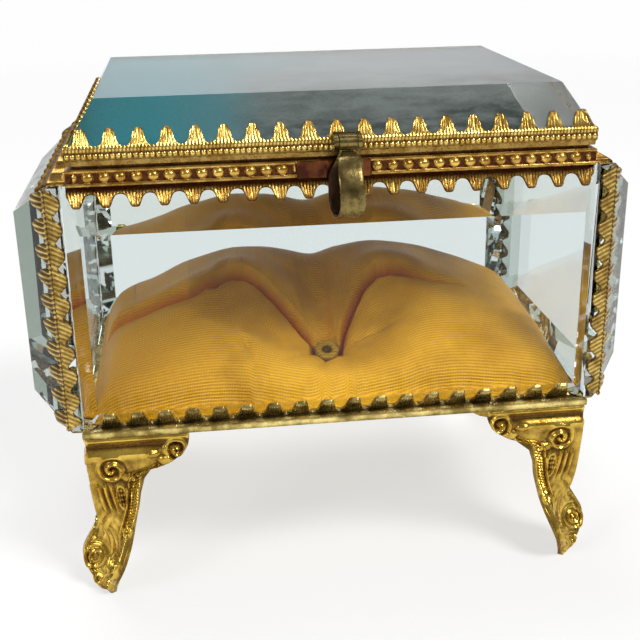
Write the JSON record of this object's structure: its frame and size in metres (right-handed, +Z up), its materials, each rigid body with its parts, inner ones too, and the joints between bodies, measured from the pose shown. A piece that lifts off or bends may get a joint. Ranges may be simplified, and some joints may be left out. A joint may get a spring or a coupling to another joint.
{
  "type": "glass casket box",
  "caption": "Bevelled glass casket in toothed gilt brass galleries on cabriole feet, with a hinged glass lid, a hanging loop clasp and a buttoned cushion.",
  "frame": {"origin": "on the table, at the middle of the bounding box's underside", "axes": "+X to the right as seen from the front, +Y to the back where the hinge is, +Z up"},
  "size_m": [0.1248, 0.085, 0.1032],
  "materials": {
    "stamped_gilt": "gilt stamped sheet brass, warm gold with red-brown recesses",
    "cast_gilt": "gilt cast brass, antique gold",
    "dark_gilt": "gilt sheet brass worn to a dark olive",
    "clasp_brass": "dull olive brass",
    "base_tin": "dull sheet brass",
    "bevelled_glass": "clear bevelled plate glass with grey-green edges",
    "picture_print": "printed scene under the lid glass",
    "ribbed_cloth": "amber ribbed silk cloth",
    "cord": "amber sewing cord",
    "board": "grey-brown card"
  },
  "bodies": {
    "casket": {"base_plate": "base_tin", "foot_front_left": "cast_gilt", "foot_front_right": "cast_gilt", "foot_back_left": "cast_gilt", "foot_back_right": "cast_gilt", "base_rail_front": "dark_gilt", "base_rail_back": "dark_gilt", "base_rail_left": "dark_gilt", "base_rail_right": "dark_gilt", "corner_post_front_left": "stamped_gilt", "corner_post_front_right": "stamped_gilt", "corner_post_back_left": "stamped_gilt", "corner_post_back_right": "stamped_gilt", "glass_front": "bevelled_glass", "glass_back": "bevelled_glass", "glass_left": "bevelled_glass", "glass_right": "bevelled_glass", "rim_front": "stamped_gilt", "rim_back": "stamped_gilt", "rim_left": "stamped_gilt", "rim_right": "stamped_gilt", "cushion_board": "board", "cushion": "ribbed_cloth", "cushion_button": "ribbed_cloth", "tuft_thread": "cord", "catch_plate": "stamped_gilt", "catch_stud": "clasp_brass", "hinge_leaf_body": "stamped_gilt", "hinge_pin": "stamped_gilt"},
    "lid": {"lid_trim_front": "stamped_gilt", "lid_trim_back": "stamped_gilt", "lid_trim_left": "stamped_gilt", "lid_trim_right": "stamped_gilt", "lid_glass": "bevelled_glass", "lid_picture": "picture_print", "hinge_leaf_lid": "stamped_gilt", "clasp_lug": "clasp_brass", "clasp_pin": "clasp_brass"},
    "clasp": {"clasp_loop": "clasp_brass"}
  },
  "joints": [
    {"name": "lid_hinge", "type": "hinge", "parent": "casket", "child": "lid", "pos_m": [0, 0.04, 0.09145], "axis": [-1, 0, 0], "range_deg": [0, 105]},
    {"name": "clasp_swing", "type": "hinge", "parent": "lid", "child": "clasp", "pos_m": [0.0016, -0.0358, 0.0948], "axis": [-1, 0, 0], "range_deg": [0, 150]}
  ]
}
